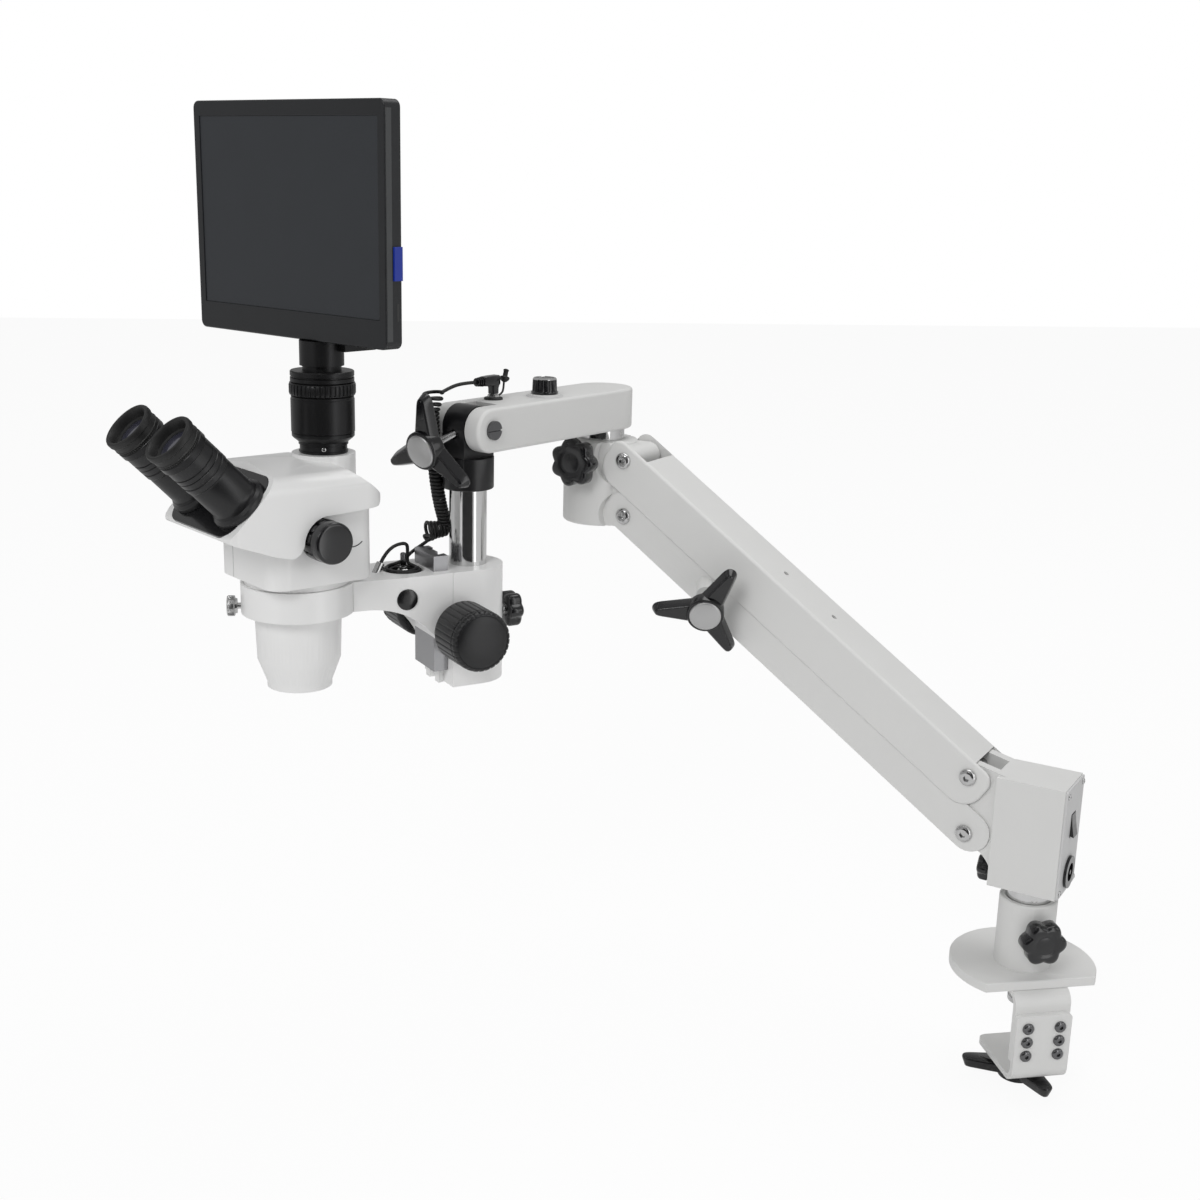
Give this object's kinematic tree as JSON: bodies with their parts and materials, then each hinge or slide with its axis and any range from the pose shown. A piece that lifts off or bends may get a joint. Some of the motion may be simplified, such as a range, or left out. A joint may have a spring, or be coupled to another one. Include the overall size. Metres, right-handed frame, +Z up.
{
  "type": "stereo microscope on a clamp arm",
  "caption": "Stereo zoom microscope with a camera display, held over a bench by a table clamp, a parallel spring arm, a swivel beam, a tilting pole and a focus carrier.",
  "frame": {"origin": "centre of the column, on the face of the upper jaw that rests on the table top", "axes": "+Z up, -Y to the front of the clamp, where the jaw bolts are"},
  "size_m": [0.8148, 0.3784, 0.8073],
  "materials": {
    "arm_casting": "satin",
    "arm_enamel": "satin",
    "black_casting": "satin",
    "black_metal": "satin",
    "black_plastic": "matte",
    "bright_steel": "polished",
    "chrome": "polished",
    "grey_metal": "satin",
    "lens_glass": "polished",
    "rubber": "matte",
    "screen": "gloss",
    "white_casting": "gloss",
    "white_enamel": "gloss",
    "white_moulding": "gloss"
  },
  "bodies": {
    "clamp": {"base_column": "white_enamel", "upper_jaw": "white_enamel", "lower_jaw": "white_enamel", "jaw_bolts": "black_metal"},
    "column_lock_knob": {"column_lock_knob": "black_plastic"},
    "jaw_pad": {"jaw_pad": "bright_steel"},
    "jaw_screw": {"jaw_handle": "black_plastic"},
    "shoulder": {"shoulder_spindle": "bright_steel", "shoulder_housing": "arm_casting", "rear_panel": "grey_metal", "power_inlet": "black_plastic", "shoulder_axles": "bright_steel"},
    "shoulder_lock_knob": {"shoulder_lock_knob": "black_plastic"},
    "rocker_switch": {"rocker_switch": "black_plastic"},
    "upper_link": {"upper_arm_cover": "arm_enamel", "gas_spring_tube": "black_metal"},
    "gas_rod": {"gas_spring_rod": "chrome"},
    "lower_link": {"lower_arm_channel": "arm_enamel"},
    "arm_lock_handle": {"arm_lock_handle": "black_plastic"},
    "elbow": {"elbow_casting": "arm_casting", "elbow_axles": "bright_steel"},
    "elbow_lock_knob": {"elbow_lock_knob": "black_plastic"},
    "beam": {"swivel_post": "bright_steel", "beam": "arm_casting", "fork_pin": "grey_metal", "power_socket": "black_plastic", "dc_plug": "black_plastic", "upper_lead": "rubber", "curly_cord": "rubber"},
    "dimmer_knob": {"dimmer_knob": "black_plastic"},
    "knuckle": {"knuckle": "black_casting"},
    "knuckle_handle": {"knuckle_handle": "black_plastic"},
    "pole": {"pole": "chrome", "cord_knot": "rubber"},
    "collar": {"collar": "white_casting"},
    "collar_lock_knob": {"collar_lock_knob": "black_plastic"},
    "pinion": {"pinion_shaft": "bright_steel", "focus_knobs": "black_plastic"},
    "focus_slide": {"focus_slide": "grey_metal", "ring_arm": "white_casting", "arm_fittings": "bright_steel", "lower_lead": "rubber", "lead_coil": "rubber", "tail_lead": "rubber"},
    "toggle_lever": {"toggle_lever": "black_plastic"},
    "ring_thumb_screw": {"ring_thumb_screw": "bright_steel"},
    "head": {"zoom_body": "white_casting", "objective_lens": "lens_glass", "head_shell": "white_moulding", "eyetube_plate": "black_plastic", "camera_adapter": "black_casting"},
    "zoom_knobs": {"zoom_knobs": "black_plastic"},
    "eyetube_left": {"eyetube_left": "black_casting"},
    "eyetube_right": {"eyetube_right": "black_casting"},
    "eyepiece_left": {"eyepiece_left": "black_plastic"},
    "eyepiece_right": {"eyepiece_right": "black_plastic"},
    "adapter_ring": {"adapter_ring": "black_casting"},
    "display": {"camera_block": "black_casting", "monitor_frame": "black_plastic", "monitor_screen": "screen"}
  },
  "joints": [
    {"name": "column_lock", "type": "hinge", "parent": "clamp", "child": "column_lock_knob", "pos_m": [-0.00128, -0.02447, 0.048], "axis": [-0.0523, -0.9986, 0], "range_deg": [0, 180]},
    {"name": "jaw_feed", "type": "slide", "parent": "clamp", "child": "jaw_pad", "axis": [0, 0, 1], "range_m": [-0.045, 0.001]},
    {"name": "jaw_turn", "type": "hinge", "parent": "jaw_pad", "child": "jaw_screw", "pos_m": [0, -0.01, -0.071], "axis": [0, 0, 1], "range_deg": [-8101, 181]},
    {"name": "shoulder_swivel", "type": "hinge", "parent": "clamp", "child": "shoulder", "pos_m": [0, 0, 0.0736], "axis": [0, 0, 1], "range_deg": [-170, 170]},
    {"name": "shoulder_lock", "type": "hinge", "parent": "shoulder", "child": "shoulder_lock_knob", "pos_m": [-0.02268, 0.01964, 0.0916], "axis": [-0.7559, 0.6547, 0], "range_deg": [0, 180]},
    {"name": "power_switch", "type": "hinge", "parent": "shoulder", "child": "rocker_switch", "pos_m": [0.02268, -0.01964, 0.1466], "axis": [-0.6547, -0.7559, 0], "range_deg": [-18, 0]},
    {"name": "arm_lift", "type": "hinge", "parent": "shoulder", "child": "upper_link", "pos_m": [-0.04104, 0.03555, 0.1786], "axis": [0.6547, 0.7559, 0], "range_deg": [-60, 3]},
    {"name": "arm_lower", "type": "hinge", "parent": "shoulder", "child": "lower_link", "pos_m": [-0.04104, 0.03555, 0.1266], "axis": [0.6547, 0.7559, 0], "range_deg": [-60, 3]},
    {"name": "gas_rod_slide", "type": "slide", "parent": "upper_link", "child": "gas_rod", "axis": [-0.6266, 0.5428, 0.5592], "range_m": [-0.0011, 0.0198]},
    {"name": "arm_lock", "type": "hinge", "parent": "lower_link", "child": "arm_lock_handle", "pos_m": [-0.24961, 0.18473, 0.30424], "axis": [-0.2385, -0.9275, -0.288], "range_deg": [0, 120]},
    {"name": "elbow_level", "type": "hinge", "parent": "upper_link", "child": "elbow", "pos_m": [-0.3011, 0.26082, 0.41067], "axis": [0.6547, 0.7559, 0], "range_deg": [-3, 60]},
    {"name": "elbow_lock", "type": "hinge", "parent": "elbow", "child": "elbow_lock_knob", "pos_m": [-0.35392, 0.26093, 0.40766], "axis": [-0.6547, -0.7559, 0], "range_deg": [0, 180]},
    {"name": "beam_swivel", "type": "hinge", "parent": "elbow", "child": "beam", "pos_m": [-0.33133, 0.28701, 0.42467], "axis": [0, 0, 1], "range_deg": [-110, 20]},
    {"name": "dimmer_turn", "type": "hinge", "parent": "beam", "child": "dimmer_knob", "pos_m": [-0.39508, 0.2211, 0.47267], "axis": [0, 0, 1], "range_deg": [0, 270]},
    {"name": "knuckle_tilt", "type": "hinge", "parent": "beam", "child": "knuckle", "pos_m": [-0.46801, 0.16307, 0.45466], "axis": [0.6717, -0.7408, 0], "range_deg": [-45, 10], "deforming": ["curly_cord"]},
    {"name": "knuckle_lock", "type": "hinge", "parent": "knuckle", "child": "knuckle_handle", "pos_m": [-0.48148, 0.15085, 0.45013], "axis": [-0.7188, -0.6518, -0.2419], "range_deg": [0, 120]},
    {"name": "pole_turn", "type": "hinge", "parent": "knuckle", "child": "pole", "pos_m": [-0.46801, 0.16307, 0.42667], "axis": [0, 0, 1], "range_deg": [-75, 75]},
    {"name": "collar_slide", "type": "slide", "parent": "pole", "child": "collar", "axis": [0, 0, 1], "range_m": [-0.03, 0.012]},
    {"name": "collar_lock", "type": "hinge", "parent": "collar", "child": "collar_lock_knob", "pos_m": [-0.43976, 0.17319, 0.29117], "axis": [0.9415, 0.3371, 0], "range_deg": [0, 180]},
    {"name": "focus_feed", "type": "slide", "parent": "collar", "child": "focus_slide", "axis": [0, 0, 1], "range_m": [-0.037, 0.013], "deforming": ["lower_lead"]},
    {"name": "focus_turn", "type": "hinge", "parent": "collar", "child": "pinion", "pos_m": [-0.49023, 0.15512, 0.28917], "axis": [-0.3371, 0.9415, 0], "range_deg": [-380, 135]},
    {"name": "light_toggle", "type": "hinge", "parent": "focus_slide", "child": "toggle_lever", "pos_m": [-0.5245, 0.14285, 0.33147], "axis": [-0.9415, -0.3371, 0], "range_deg": [-10, 10]},
    {"name": "ring_thumb", "type": "hinge", "parent": "focus_slide", "child": "ring_thumb_screw", "pos_m": [-0.65772, 0.11333, 0.31616], "axis": [-0.9992, 0.0401, 0], "range_deg": [0, 180]},
    {"name": "scope_turn", "type": "hinge", "parent": "focus_slide", "child": "head", "pos_m": [-0.61205, 0.1115, 0.33716], "axis": [0, 0, 1], "range_deg": [-60, 60]},
    {"name": "zoom_turn", "type": "hinge", "parent": "head", "child": "zoom_knobs", "pos_m": [-0.61724, 0.10848, 0.38166], "axis": [0.503, -0.8643, 0], "range_deg": [-135, 135]},
    {"name": "eyetube_swing_left", "type": "hinge", "parent": "head", "child": "eyetube_left", "pos_m": [-0.67969, 0.11205, 0.42098], "axis": [-0.6111, -0.3557, 0.7071], "range_deg": [-15, 15]},
    {"name": "dioptre_left", "type": "hinge", "parent": "eyetube_left", "child": "eyepiece_left", "pos_m": [-0.68702, 0.10778, 0.4125], "axis": [-0.6111, -0.3557, 0.7071], "range_deg": [-170, 170]},
    {"name": "eyetube_swing_right", "type": "hinge", "parent": "head", "child": "eyetube_right", "pos_m": [-0.64498, 0.05242, 0.42098], "axis": [-0.6111, -0.3557, 0.7071], "range_deg": [-15, 15]},
    {"name": "dioptre_right", "type": "hinge", "parent": "eyetube_right", "child": "eyepiece_right", "pos_m": [-0.65231, 0.04815, 0.4125], "axis": [-0.6111, -0.3557, 0.7071], "range_deg": [-170, 170]},
    {"name": "adapter_focus", "type": "hinge", "parent": "head", "child": "adapter_ring", "pos_m": [-0.58872, 0.12508, 0.44066], "axis": [0, 0, 1], "range_deg": [-170, 170]},
    {"name": "monitor_turn", "type": "hinge", "parent": "head", "child": "display", "pos_m": [-0.58872, 0.12508, 0.50667], "axis": [0, 0, 1], "range_deg": [-90, 90]}
  ],
  "couplings": [
    {"joint": "arm_lower", "follows": "arm_lift", "ratio": 1},
    {"joint": "elbow_level", "follows": "arm_lift", "ratio": -1},
    {"joint": "gas_rod_slide", "follows": "arm_lift", "m_per_rad": -0.01878},
    {"joint": "focus_turn", "follows": "focus_feed", "rad_per_m": 178.57},
    {"joint": "jaw_turn", "follows": "jaw_feed", "rad_per_m": 3141.6},
    {"joint": "eyetube_swing_right", "follows": "eyetube_swing_left", "ratio": -1}
  ]
}
